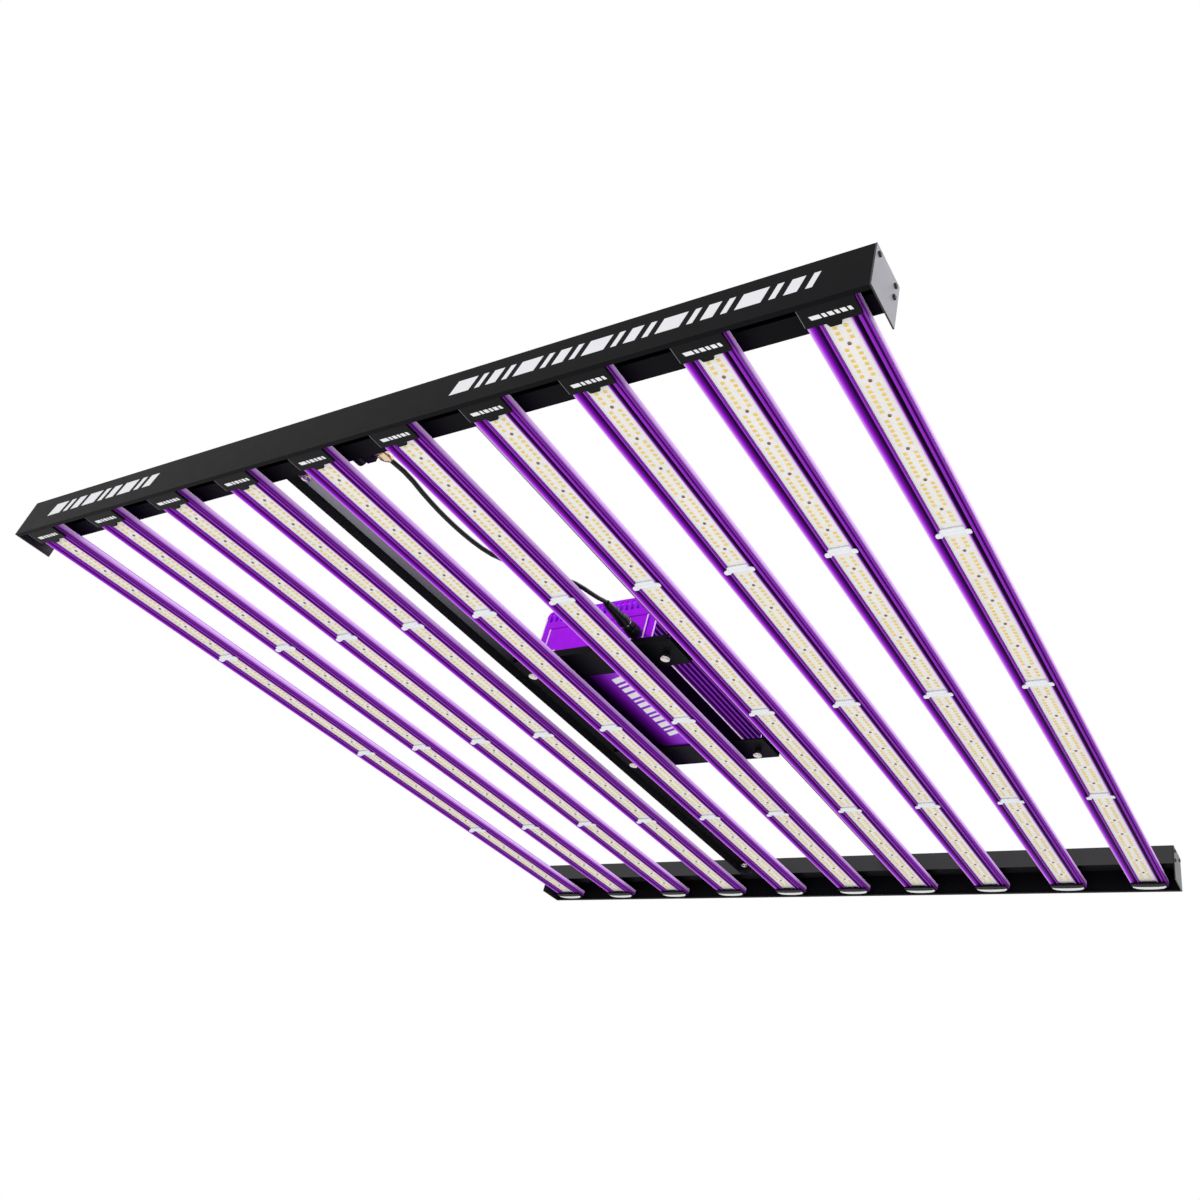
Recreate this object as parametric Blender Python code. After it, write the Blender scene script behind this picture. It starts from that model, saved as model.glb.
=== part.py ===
"""Ten-bar LED grow light, lamp side down, standing on the lower edges of its two end channels.

Units are metres. X runs across the bars, Y along them, and +Z points up, away from the plants.
The origin is at the middle of the footprint, level with the lower edges of the end channels.
"""

import math

import bmesh
import bpy
from mathutils import Matrix, Vector

GAP = 0.0003
RUNNING_CLEARANCE = 0.00008

# End channels: folded sheet, open below, one at each end of the bars
CHANNEL_OUTER_Y = 0.582
CHANNEL_DEPTH = 0.047
CHANNEL_HEIGHT = 0.0495
CHANNEL_HALF_LENGTH = 0.5625
SHEET = 0.0015
CHANNEL_LIP = 0.005
LEDGE_WIDTH = 0.021
LEDGE_Z = 0.0228
INNER_WALL_Y = CHANNEL_OUTER_Y - CHANNEL_DEPTH

# LED bars
BAR_COUNT = 10
BAR_PITCH = 0.1161
BAR_HALF_LENGTH = 0.573
BAR_HALF_WIDTH = 0.0255
BAR_FACE_Z = 0.0042
BAR_SIDE_TOP_Z = 0.0134
BAR_BASE_TOP_Z = 0.0112
BAR_FIN_TOP_Z = LEDGE_Z - GAP
BAR_RECESS_HALF_WIDTH = 0.0121
BAR_RECESS_Z = 0.0089
TALL_FIN_XS = (0.0, 0.0042, 0.0084)
LOW_FIN_XS = (0.0135, 0.0172, 0.0209)
FIN_THICKNESS = 0.0013

# LED board strip in each bar: four boards end to end
BOARD_LENGTH = 0.280
BOARDS_PER_BAR = 4
BOARD_HALF_WIDTH = 0.0118
BOARD_THICKNESS = 0.0016

# Bar end caps
CAP_HALF_WIDTH = 0.0245
CAP_OUTER_Y = 0.5765
CAP_INNER_Y = 0.5562
CAP_FACE_Z = 0.0014
CAP_TAB_Y = 0.5522
CAP_TAB_ROOT_HALF_WIDTH = 0.0068
CAP_TAB_TIP_HALF_WIDTH = 0.0050

# Cross beams that carry the driver: angle sections with the outer lip down
BEAM_INNER_X = 0.1100
BEAM_OUTER_X = 0.1500
BEAM_WEB_Z = 0.0414
BEAM_LIP_Z = 0.0294
BEAM_SHEET = 0.0020
BEAM_SCREW_X = 0.1300
BEAM_SCREW_Y = 0.5220
TAB_LENGTH = 0.024

# Driver brackets: plates hung from the beams
BRACKET_PLATE_Z = 0.0244
BRACKET_SHEET = 0.0020
BRACKET_HALF_LENGTH = 0.1225
BRACKET_INNER_Y = 0.0975
BRACKET_OUTER_Y = 0.1490
BRACKET_FLANGE_TOP_Z = 0.0344
BRACKET_FOLD_X = 0.1115

# Driver
DRIVER_HALF_WIDTH = 0.0905
DRIVER_END_Y = 0.1465
DRIVER_BOTTOM_Z = BRACKET_PLATE_Z + BRACKET_SHEET + GAP
DRIVER_BODY_TOP_Z = 0.0760
DRIVER_TOP_Z = 0.1024
DRIVER_WALL = 0.0035
END_PLATE_THICKNESS = 0.0028
END_PLATE_PANEL_HALF_WIDTH = 0.0770
END_PLATE_PANEL_TOP_Z = 0.0722
SIDE_FIN_COUNT = 6
SIDE_FIN_DEPTH = 0.0060
TOP_FIN_COUNT = 21
TOP_FIN_THICKNESS = 0.0026
TOP_FIN_PITCH = 2 * (DRIVER_HALF_WIDTH - 0.004) / (TOP_FIN_COUNT - 1)
VENT_HALF_WIDTH = 0.0024
VENT_LOW_Z = 0.0840
VENT_HIGH_Z = 0.0985
VENT_POINT = 0.0015
FOOT_X = 0.1135
FOOT_INNER_Y = 0.1050
FOOT_THICKNESS = 0.0020

# Thumbscrews
SCREW_X = 0.1024
SCREW_Y = 0.1249
SCREW_HEAD_RADIUS = 0.0063
SCREW_HEAD_HEIGHT = 0.0028
SCREW_COLLAR_RADIUS = 0.0043
SCREW_LENGTH_BELOW = 0.0096
SCREW_SHANK_RADIUS = 0.0025
SCREW_SHANK_LENGTH = 0.0070
SCREW_HOLE_RADIUS = SCREW_SHANK_RADIUS + RUNNING_CLEARANCE

# Fittings on the near channel's inner wall
FITTING_Z = 0.0336
GLAND_Z = 0.0354
GLAND_X = -0.0110
SOCKET_X = -0.0265
KNOB_X = -0.0420
GLAND_THREAD_RADIUS = 0.0052
GLAND_END_Y = -0.5140
KNOB_SHAFT_RADIUS = 0.0030

# Plug and lead
PLUG_X = 0.0660
PLUG_Z = 0.0434
PLUG_ROOT_Y = -DRIVER_END_Y - GAP
PLUG_TIP_Y = -0.2150
CABLE_RADIUS = 0.0027
HARNESS_RADIUS = 0.0040
HARNESS_Y = -0.5620
HARNESS_HALF_LENGTH = 0.5300

# The lead's route: down from the gland, along the gap beside the sixth bar, then over that bar to the plug
CABLE_ROUTE = (
    (GLAND_X, -0.5100, GLAND_Z),
    (-0.0074, -0.5000, 0.0336),
    (-0.0036, -0.4860, 0.0300),
    (-0.0028, -0.4670, 0.0266),
    (-0.0033, -0.4430, 0.0249),
    (-0.0028, -0.4200, 0.0239),
    (-0.0013, -0.3990, 0.0234),
    (0.0013, -0.3780, 0.0234),
    (0.0056, -0.3590, 0.0238),
    (0.0130, -0.3425, 0.0247),
    (0.0300, -0.3180, 0.0268),
    (0.0480, -0.2970, 0.0285),
    (0.0610, -0.2830, 0.0294),
    (0.0666, -0.2690, 0.0313),
    (0.0670, -0.2540, 0.0342),
    (0.0668, -0.2390, 0.0374),
    (0.0664, -0.2280, 0.0404),
    (PLUG_X, -0.2190, PLUG_Z),
)


def clear_scene():
    for scene_object in list(bpy.data.objects):
        bpy.data.objects.remove(scene_object, do_unlink=True)


def make_material(name, colour, roughness, metallic):
    material = bpy.data.materials.new(name)
    material.use_nodes = True
    shader = material.node_tree.nodes["Principled BSDF"]
    shader.inputs["Base Color"].default_value = (*colour, 1.0)
    shader.inputs["Roughness"].default_value = roughness
    shader.inputs["Metallic"].default_value = metallic
    return material


def finish_mesh(mesh, bm):
    bmesh.ops.recalc_face_normals(bm, faces=bm.faces)
    bm.to_mesh(mesh)
    bm.free()


def place(name, mesh, material, location=(0, 0, 0)):
    piece = bpy.data.objects.new(name, mesh)
    bpy.context.scene.collection.objects.link(piece)
    piece.location = location
    if material is not None and not mesh.materials:
        mesh.materials.append(material)
    return piece


def prism_mesh(name, outline, axis, start, end, holes=()):
    """Extrudes an outline along X, Y or Z. Its points are (y, z), (x, z) or (x, y)."""
    def point(pair, along):
        if axis == "X":
            return (along, pair[0], pair[1])
        if axis == "Y":
            return (pair[0], along, pair[1])
        return (pair[0], pair[1], along)

    bm = bmesh.new()
    loops = [outline, *holes]
    edges = []
    for loop in loops:
        verts = [bm.verts.new(point(pair, start)) for pair in loop]
        edges += [bm.edges.new((verts[i - 1], verts[i])) for i in range(len(verts))]
    bmesh.ops.triangle_fill(bm, edges=edges, use_beauty=True, use_dissolve=not holes)
    offset = Vector(point((0, 0), end - start))
    grown = bmesh.ops.extrude_face_region(bm, geom=list(bm.faces))
    moved = [item for item in grown["geom"] if isinstance(item, bmesh.types.BMVert)]
    bmesh.ops.translate(bm, verts=moved, vec=offset)
    mesh = bpy.data.meshes.new(name)
    finish_mesh(mesh, bm)
    return mesh


def box_mesh(name, low, high):
    outline = ((low[0], low[1]), (high[0], low[1]), (high[0], high[1]), (low[0], high[1]))
    return prism_mesh(name, outline, "Z", low[2], high[2])


def turned_mesh(name, profile, sides=24):
    """Turns a profile of (radius, height) points round Z. Its first and last points lie on the axis."""
    bm = bmesh.new()
    rings = []
    for radius, height in profile:
        if radius == 0:
            rings.append([bm.verts.new((0, 0, height))])
            continue
        turn = [2 * math.pi * i / sides for i in range(sides)]
        rings.append([bm.verts.new((radius * math.cos(a), radius * math.sin(a), height)) for a in turn])
    for low, high in zip(rings, rings[1:]):
        for i in range(sides):
            corners = [low[i % len(low)], low[(i + 1) % len(low)]]
            corners += [high[(i + 1) % len(high)], high[i % len(high)]]
            bm.faces.new(list(dict.fromkeys(corners)))
    mesh = bpy.data.meshes.new(name)
    finish_mesh(mesh, bm)
    mesh.shade_smooth()
    mesh.set_sharp_from_angle(angle=math.radians(35))
    return mesh


def point_along_y(mesh, towards=1):
    """Turns a mesh made round Z so that its height runs along +Y, or along -Y."""
    mesh.transform(Matrix.Rotation(math.radians(-90 * towards), 4, "X"))
    return mesh


def combine(piece, helper, operation):
    """Joins a helper to a piece, or cuts it out, and keeps the helper out of the model."""
    helper.hide_render = True
    helper.display_type = "WIRE"
    modifier = piece.modifiers.new(operation.title(), "BOOLEAN")
    modifier.operation = operation
    modifier.object = helper
    modifier.solver = "EXACT"


def add_box(piece, low, high):
    helper = place(piece.name + "_add", box_mesh(piece.name + "_add", low, high), None)
    combine(piece, helper, "UNION")


def cut_box(piece, low, high):
    helper = place(piece.name + "_cut", box_mesh(piece.name + "_cut", low, high), None)
    combine(piece, helper, "DIFFERENCE")


def cut_round(piece, radius, length, location, along="Z"):
    profile = ((0, -length / 2), (radius, -length / 2), (radius, length / 2), (0, length / 2))
    mesh = turned_mesh(piece.name + "_hole", profile, 20)
    if along == "Y":
        point_along_y(mesh)
    combine(piece, place(piece.name + "_hole", mesh, None, location), "DIFFERENCE")


def tube(name, points, radius, material, resolution=2):
    """A round tube with flat ends through the given points."""
    curve = bpy.data.curves.new(name, "CURVE")
    curve.dimensions = "3D"
    curve.bevel_depth = radius
    curve.bevel_resolution = resolution
    curve.use_fill_caps = True
    spline = curve.splines.new("POLY")
    spline.points.add(len(points) - 1)
    for target, source in zip(spline.points, points):
        target.co = (*source, 1.0)
    piece = bpy.data.objects.new(name, curve)
    bpy.context.scene.collection.objects.link(piece)
    curve.materials.append(material)
    return piece


def smooth_points(route, step):
    """Reads a Catmull-Rom curve through the route, then spaces its points evenly."""
    route = [Vector(point) for point in route]
    ends = [2 * route[0] - route[1], *route, 2 * route[-1] - route[-2]]
    fine = []
    for i in range(len(route) - 1):
        a, b, c, d = ends[i:i + 4]
        for k in range(20):
            t = k / 20
            fine.append(0.5 * (2 * b + (c - a) * t + (2 * a - 5 * b + 4 * c - d) * t ** 2
                               + (3 * b - a - 3 * c + d) * t ** 3))
    fine.append(route[-1])
    length = sum((q - p).length for p, q in zip(fine, fine[1:]))
    count = max(2, round(length / step))
    picked = [fine[0]]
    travelled = 0.0
    for p, q in zip(fine, fine[1:]):
        travelled += (q - p).length
        if travelled >= len(picked) * length / count and len(picked) < count:
            picked.append(q)
    picked.append(fine[-1])
    return picked


def mirrored(half):
    """A closed outline from its right half, which runs from the centre line round to the centre line."""
    left = [(-x, z) for x, z in reversed(half) if x > 0]
    return [*half, *left]


def bar_outline():
    """The extrusion's section. Its right wing is ribbed below, and its left wing is smooth."""
    right = [(0.0, BAR_RECESS_Z), (BAR_RECESS_HALF_WIDTH, BAR_RECESS_Z)]
    right += [(BAR_RECESS_HALF_WIDTH, 0.0052), (0.0127, 0.0046), (0.0140, 0.0049), (0.0154, 0.0062)]
    right += [(0.0164, 0.0069), (0.0175, 0.0066), (0.0183, 0.0050), (0.0189, 0.0044), (0.0195, 0.0050)]
    right += [(0.0202, 0.0062), (0.0209, 0.0062), (0.0216, 0.0050), (0.0222, 0.0044), (0.0228, 0.0049)]
    right += [(0.0234, 0.0058), (0.0240, 0.0057), (0.0247, 0.0050), (0.0253, 0.0052)]
    right += [(BAR_HALF_WIDTH, 0.0060)]
    left = [(BAR_RECESS_HALF_WIDTH, 0.0052), (0.0127, 0.0046), (0.0140, 0.0046), (0.0147, 0.0056)]
    left += [(0.0156, 0.0066), (0.0166, 0.0066), (0.0176, 0.0058), (0.0190, 0.0049), (0.0208, 0.0044)]
    left += [(0.0226, 0.0042), (0.0242, 0.0044), (0.0252, 0.0051), (BAR_HALF_WIDTH, 0.0062)]
    top = [(BAR_HALF_WIDTH, BAR_SIDE_TOP_Z), (BAR_HALF_WIDTH - FIN_THICKNESS, BAR_SIDE_TOP_Z)]
    top += [(BAR_HALF_WIDTH - FIN_THICKNESS, BAR_BASE_TOP_Z)]
    fins = [(x, BAR_SIDE_TOP_Z) for x in reversed(LOW_FIN_XS)]
    fins += [(x, BAR_FIN_TOP_Z) for x in reversed(TALL_FIN_XS)]
    for x, height in fins:
        outer = x + FIN_THICKNESS / 2
        top += [(outer, BAR_BASE_TOP_Z), (outer, height)]
        if x > 0:
            top += [(outer - FIN_THICKNESS, height), (outer - FIN_THICKNESS, BAR_BASE_TOP_Z)]
    mirrored_top = [(-x, z) for x, z in reversed(top)]
    mirrored_left = [(-x, z) for x, z in reversed(left)]
    return [*right, *top, *mirrored_top, *mirrored_left, (-BAR_RECESS_HALF_WIDTH, BAR_RECESS_Z)]


def make_bars(materials):
    bar_mesh = prism_mesh("bar_profile", bar_outline(), "Y", -BAR_HALF_LENGTH, BAR_HALF_LENGTH)
    strip_end = BOARD_LENGTH * BOARDS_PER_BAR / 2
    strip_top = BAR_RECESS_Z - GAP
    strip_mesh = box_mesh(
        "led_board_strip",
        (-BOARD_HALF_WIDTH, -strip_end, strip_top - BOARD_THICKNESS),
        (BOARD_HALF_WIDTH, strip_end, strip_top),
    )
    cap_mesh = end_cap_mesh()
    for index in range(BAR_COUNT):
        x = (index - (BAR_COUNT - 1) / 2) * BAR_PITCH
        number = f"{index + 1:02d}"
        place("led_bar_extrusion_" + number, bar_mesh, materials["anodised"], (x, 0, 0))
        place("led_board_strip_" + number, strip_mesh, materials["board"], (x, 0, 0))
        place("bar_end_cap_" + number, cap_mesh, materials["plastic"], (x, 0, 0))


def end_cap_mesh():
    """The cap on a bar's near end: a face plate with a tab over the board, and a wall behind the bar."""
    plan = (
        (-CAP_HALF_WIDTH, -CAP_OUTER_Y), (CAP_HALF_WIDTH, -CAP_OUTER_Y), (CAP_HALF_WIDTH, -CAP_INNER_Y),
        (CAP_TAB_ROOT_HALF_WIDTH, -CAP_INNER_Y), (CAP_TAB_TIP_HALF_WIDTH, -CAP_TAB_Y),
        (-CAP_TAB_TIP_HALF_WIDTH, -CAP_TAB_Y), (-CAP_TAB_ROOT_HALF_WIDTH, -CAP_INNER_Y),
        (-CAP_HALF_WIDTH, -CAP_INNER_Y),
    )
    plate_top = BAR_FACE_Z - GAP
    bm = bmesh.new()
    bm.from_mesh(prism_mesh("cap_plate", plan, "Z", CAP_FACE_Z, plate_top))
    wall_inner_y = -BAR_HALF_LENGTH - GAP
    top = [v for v in bm.verts if v.co.z > plate_top - 1e-6]
    for face in list(bm.faces):
        if all(v in top for v in face.verts):
            bmesh.ops.delete(bm, geom=[face], context="FACES_ONLY")
    corner = {(round(v.co.x, 5), round(v.co.y, 5)): v for v in top}
    back_left = corner[(-CAP_HALF_WIDTH, -CAP_OUTER_Y)]
    back_right = corner[(CAP_HALF_WIDTH, -CAP_OUTER_Y)]
    step_left = bm.verts.new((-CAP_HALF_WIDTH, wall_inner_y, plate_top))
    step_right = bm.verts.new((CAP_HALF_WIDTH, wall_inner_y, plate_top))
    front = [corner[(round(x, 5), round(y, 5))] for x, y in plan[2:]]
    bm.faces.new([step_left, step_right, *front])
    walls = []
    for vert in (back_left, back_right, step_right, step_left):
        walls.append(bm.verts.new((vert.co.x, vert.co.y, BAR_SIDE_TOP_Z)))
    ring = (back_left, back_right, step_right, step_left)
    for i in range(4):
        bm.faces.new([ring[i], ring[(i + 1) % 4], walls[(i + 1) % 4], walls[i]])
    bm.faces.new(walls)
    for side, step in ((-CAP_HALF_WIDTH, step_left), (CAP_HALF_WIDTH, step_right)):
        for face in list(bm.faces):
            on_side = all(abs(v.co.x - side) < 1e-6 and v.co.z < plate_top + 1e-6 for v in face.verts)
            if on_side and len(face.verts) == 4:
                edge = next(e for e in face.edges if all(v.co.z > plate_top - 1e-6 for v in e.verts))
                low, high = sorted(face.verts, key=lambda v: v.co.z)[:2], edge.verts
                order = sorted(high, key=lambda v: v.co.y)
                bottom = sorted(low, key=lambda v: v.co.y)
                bmesh.ops.delete(bm, geom=[face], context="FACES_ONLY")
                bm.faces.new([bottom[0], bottom[1], order[1], step, order[0]])
                break
    mesh = bpy.data.meshes.new("end_cap")
    finish_mesh(mesh, bm)
    return mesh


def channel_outline(side):
    """The folded section of an end channel as (y, z) points. side is -1 at the near end, 1 at the far end."""
    outer, inner = CHANNEL_OUTER_Y, INNER_WALL_Y
    points = (
        (outer - CHANNEL_LIP, 0), (outer, 0), (outer, CHANNEL_HEIGHT), (inner, CHANNEL_HEIGHT),
        (inner, LEDGE_Z), (inner + LEDGE_WIDTH, LEDGE_Z), (inner + LEDGE_WIDTH, LEDGE_Z + SHEET),
        (inner + SHEET, LEDGE_Z + SHEET), (inner + SHEET, CHANNEL_HEIGHT - SHEET),
        (outer - SHEET, CHANNEL_HEIGHT - SHEET), (outer - SHEET, SHEET), (outer - CHANNEL_LIP, SHEET),
    )
    return [(side * y, z) for y, z in points]


def make_channels(materials):
    channels = {}
    for label, side in (("near", -1), ("far", 1)):
        mesh = prism_mesh("channel", channel_outline(side), "X", -CHANNEL_HALF_LENGTH, CHANNEL_HALF_LENGTH)
        channel = place("end_channel_" + label, mesh, materials["powder_coat"])
        channels[label] = channel
        tab_z = BEAM_WEB_Z + BEAM_SHEET + GAP
        for x in (-BEAM_SCREW_X, BEAM_SCREW_X):
            ys = sorted((side * (INNER_WALL_Y + SHEET / 2), side * (INNER_WALL_Y - TAB_LENGTH)))
            add_box(channel, (x - 0.0105, ys[0], tab_z), (x + 0.0105, ys[1], tab_z + BEAM_SHEET))
            cut_round(channel, SCREW_HOLE_RADIUS, 0.006, (x, side * BEAM_SCREW_Y, tab_z + BEAM_SHEET / 2))
        for letter, end in (("left", -1), ("right", 1)):
            start = end * (CHANNEL_HALF_LENGTH + GAP)
            outline = (
                (side * INNER_WALL_Y, 0), (side * CHANNEL_OUTER_Y, 0),
                (side * CHANNEL_OUTER_Y, CHANNEL_HEIGHT), (side * INNER_WALL_Y, CHANNEL_HEIGHT),
            )
            mesh = prism_mesh("end_plate", outline, "X", start, start + end * SHEET)
            place(f"channel_end_plate_{label}_{letter}", mesh, materials["powder_coat"])
    wall_y = -(INNER_WALL_Y + SHEET / 2)
    near = channels["near"]
    cut_round(near, GLAND_THREAD_RADIUS + GAP, 0.006, (GLAND_X, wall_y, GLAND_Z), "Y")
    cut_round(near, KNOB_SHAFT_RADIUS + RUNNING_CLEARANCE, 0.006, (KNOB_X, wall_y, FITTING_Z), "Y")
    cut_box(
        near,
        (SOCKET_X - 0.0050, wall_y - 0.003, FITTING_Z - 0.0045),
        (SOCKET_X + 0.0050, wall_y + 0.003, FITTING_Z + 0.0045),
    )


def make_beams(materials):
    beam_end = INNER_WALL_Y - GAP
    web_top = BEAM_WEB_Z + BEAM_SHEET
    section = (
        (BEAM_OUTER_X, BEAM_LIP_Z), (BEAM_OUTER_X, web_top), (BEAM_INNER_X, web_top),
        (BEAM_INNER_X, BEAM_WEB_Z), (BEAM_OUTER_X - BEAM_SHEET, BEAM_WEB_Z),
        (BEAM_OUTER_X - BEAM_SHEET, BEAM_LIP_Z),
    )
    for label, side in (("left", -1), ("right", 1)):
        outline = [(side * x, z) for x, z in section]
        mesh = prism_mesh("beam", outline, "Y", -beam_end, beam_end)
        beam = place("cross_beam_" + label, mesh, materials["powder_coat"])
        for y in (-BEAM_SCREW_Y, BEAM_SCREW_Y):
            cut_round(beam, SCREW_HOLE_RADIUS, 0.006, (side * BEAM_SCREW_X, y, BEAM_WEB_Z + BEAM_SHEET / 2))


def make_brackets(materials):
    """Each bracket is a plate with both ends folded up under the beams, and a flange by the driver's end."""
    low, high = BRACKET_PLATE_Z, BRACKET_PLATE_Z + BRACKET_SHEET
    fold_high = BEAM_WEB_Z - GAP
    fold_low = fold_high - BRACKET_SHEET
    inside = BRACKET_HALF_LENGTH - BRACKET_SHEET
    half = (
        (0, low), (BRACKET_HALF_LENGTH, low), (BRACKET_HALF_LENGTH, fold_high),
        (BRACKET_FOLD_X, fold_high), (BRACKET_FOLD_X, fold_low), (inside, fold_low),
        (inside, high), (0, high),
    )
    for label, side in (("near", -1), ("far", 1)):
        ys = sorted((side * BRACKET_INNER_Y, side * BRACKET_OUTER_Y))
        mesh = prism_mesh("bracket", mirrored(half), "Y", *ys)
        bracket = place("driver_bracket_" + label, mesh, materials["powder_coat"])
        flange_ys = sorted((side * (BRACKET_OUTER_Y - BRACKET_SHEET), side * BRACKET_OUTER_Y))
        add_box(
            bracket,
            (-inside + 0.004, flange_ys[0], low + BRACKET_SHEET / 2),
            (inside - 0.004, flange_ys[1], BRACKET_FLANGE_TOP_Z),
        )
        for x in (-SCREW_X, SCREW_X):
            cut_round(bracket, SCREW_HOLE_RADIUS, 0.006, (x, side * SCREW_Y, low + BRACKET_SHEET / 2))


def driver_outline():
    """The housing's section: a flat bottom, ribs along both sides and tall cooling fins on top."""
    half = [(0, DRIVER_BOTTOM_Z), (DRIVER_HALF_WIDTH, DRIVER_BOTTOM_Z)]
    rib_start = DRIVER_BOTTOM_Z + 0.004
    rib_pitch = (DRIVER_BODY_TOP_Z - rib_start) / SIDE_FIN_COUNT
    for i in range(SIDE_FIN_COUNT):
        z = rib_start + i * rib_pitch
        half += [(DRIVER_HALF_WIDTH, z), (DRIVER_HALF_WIDTH - SIDE_FIN_DEPTH, z + 0.0008)]
        half += [(DRIVER_HALF_WIDTH - SIDE_FIN_DEPTH, z + rib_pitch - 0.0036)]
        half += [(DRIVER_HALF_WIDTH, z + rib_pitch - 0.0028)]
    half += [(DRIVER_HALF_WIDTH, DRIVER_BODY_TOP_Z)]
    for i in range(TOP_FIN_COUNT // 2 + 1):
        right = DRIVER_HALF_WIDTH - 0.004 - i * TOP_FIN_PITCH + TOP_FIN_THICKNESS / 2
        half += [(right, DRIVER_BODY_TOP_Z), (right, DRIVER_TOP_Z)]
        if i < TOP_FIN_COUNT // 2:
            left = right - TOP_FIN_THICKNESS
            half += [(left, DRIVER_TOP_Z), (left, DRIVER_BODY_TOP_Z)]
    return mirrored(half)


def make_driver(materials):
    housing_end = DRIVER_END_Y - END_PLATE_THICKNESS - GAP
    inner_x = DRIVER_HALF_WIDTH - SIDE_FIN_DEPTH - DRIVER_WALL
    inner_low = DRIVER_BOTTOM_Z + DRIVER_WALL
    inner_high = DRIVER_BODY_TOP_Z - DRIVER_WALL
    cavity = ((-inner_x, inner_low), (inner_x, inner_low), (inner_x, inner_high), (-inner_x, inner_high))
    mesh = prism_mesh("driver_section", driver_outline(), "Y", -housing_end, housing_end, [cavity])
    place("driver_housing", mesh, materials["anodised"])
    for label, side in (("front", -1), ("rear", 1)):
        make_driver_end_plate(label, side, materials)
    board = place(
        "driver_circuit_board",
        box_mesh("circuit_board", (-0.074, -0.132, 0.0345), (0.074, 0.132, 0.0361)),
        materials["circuit_board"],
    )
    add_box(board, (-0.050, -0.100, 0.0355), (-0.012, -0.045, 0.0660))
    add_box(board, (0.010, -0.020, 0.0355), (0.052, 0.040, 0.0620))
    add_box(board, (-0.060, 0.060, 0.0355), (0.060, 0.068, 0.0600))


def make_driver_end_plate(label, side, materials):
    outer, inner = DRIVER_END_Y, DRIVER_END_Y - END_PLATE_THICKNESS
    shoulder = inner + 0.0014
    rim = mirrored([
        (0, DRIVER_BOTTOM_Z), (DRIVER_HALF_WIDTH, DRIVER_BOTTOM_Z),
        (DRIVER_HALF_WIDTH, DRIVER_TOP_Z - 0.0080), (DRIVER_HALF_WIDTH - 0.0025, DRIVER_TOP_Z - 0.0025),
        (DRIVER_HALF_WIDTH - 0.0080, DRIVER_TOP_Z), (0, DRIVER_TOP_Z),
    ])
    slots = []
    for i in range(TOP_FIN_COUNT - 1):
        x = (i - (TOP_FIN_COUNT - 2) / 2) * TOP_FIN_PITCH
        left, right = x - VENT_HALF_WIDTH, x + VENT_HALF_WIDTH
        slots.append([
            (left, VENT_LOW_Z + VENT_POINT), (x, VENT_LOW_Z), (right, VENT_LOW_Z + VENT_POINT),
            (right, VENT_HIGH_Z - VENT_POINT), (x, VENT_HIGH_Z), (left, VENT_HIGH_Z - VENT_POINT),
        ])
    mesh = prism_mesh("driver_end_plate", rim, "Y", side * inner, side * shoulder, slots)
    plate = place("driver_end_plate_" + label, mesh, materials["anodised"])
    panel_ys = sorted((side * (inner + 0.0007), side * outer))
    add_box(
        plate,
        (-END_PLATE_PANEL_HALF_WIDTH, panel_ys[0], DRIVER_BOTTOM_Z + 0.0015),
        (END_PLATE_PANEL_HALF_WIDTH, panel_ys[1], END_PLATE_PANEL_TOP_Z),
    )
    foot_top = DRIVER_BOTTOM_Z + FOOT_THICKNESS
    for end in (-1, 1):
        clear_x = DRIVER_HALF_WIDTH + GAP
        foot = [
            (end * (DRIVER_HALF_WIDTH - 0.004), side * inner), (end * clear_x, side * inner),
            (end * clear_x, side * FOOT_INNER_Y), (end * FOOT_X, side * FOOT_INNER_Y),
            (end * FOOT_X, side * shoulder), (end * (DRIVER_HALF_WIDTH - 0.004), side * shoulder),
        ]
        mesh = prism_mesh("driver_foot", foot, "Z", DRIVER_BOTTOM_Z, foot_top)
        combine(plate, place("driver_foot", mesh, None), "UNION")
        hole = (end * SCREW_X, side * SCREW_Y, DRIVER_BOTTOM_Z + FOOT_THICKNESS / 2)
        cut_round(plate, SCREW_HOLE_RADIUS, 0.006, hole)


def thumbscrew_mesh():
    """A thumbscrew with its seat at height 0: disc head and collar below, threaded shank above."""
    disc_top = -SCREW_LENGTH_BELOW + SCREW_HEAD_HEIGHT
    profile = (
        (0, -SCREW_LENGTH_BELOW), (SCREW_HEAD_RADIUS - 0.0006, -SCREW_LENGTH_BELOW),
        (SCREW_HEAD_RADIUS, -SCREW_LENGTH_BELOW + 0.0006), (SCREW_HEAD_RADIUS, disc_top),
        (SCREW_COLLAR_RADIUS, disc_top), (SCREW_COLLAR_RADIUS, -GAP),
        (SCREW_SHANK_RADIUS, -GAP), (SCREW_SHANK_RADIUS, SCREW_SHANK_LENGTH), (0, SCREW_SHANK_LENGTH),
    )
    return turned_mesh("thumbscrew", profile, 20)


def make_thumbscrews(materials):
    mesh = thumbscrew_mesh()
    for end, side_y in (("near", -1), ("far", 1)):
        for label, side_x in (("left", -1), ("right", 1)):
            driver_spot = (side_x * SCREW_X, side_y * SCREW_Y, BRACKET_PLATE_Z)
            place(f"driver_thumbscrew_{end}_{label}", mesh, materials["plated_steel"], driver_spot)
            beam_spot = (side_x * BEAM_SCREW_X, side_y * BEAM_SCREW_Y, BEAM_WEB_Z)
            place(f"beam_thumbscrew_{end}_{label}", mesh, materials["plated_steel"], beam_spot)


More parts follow.
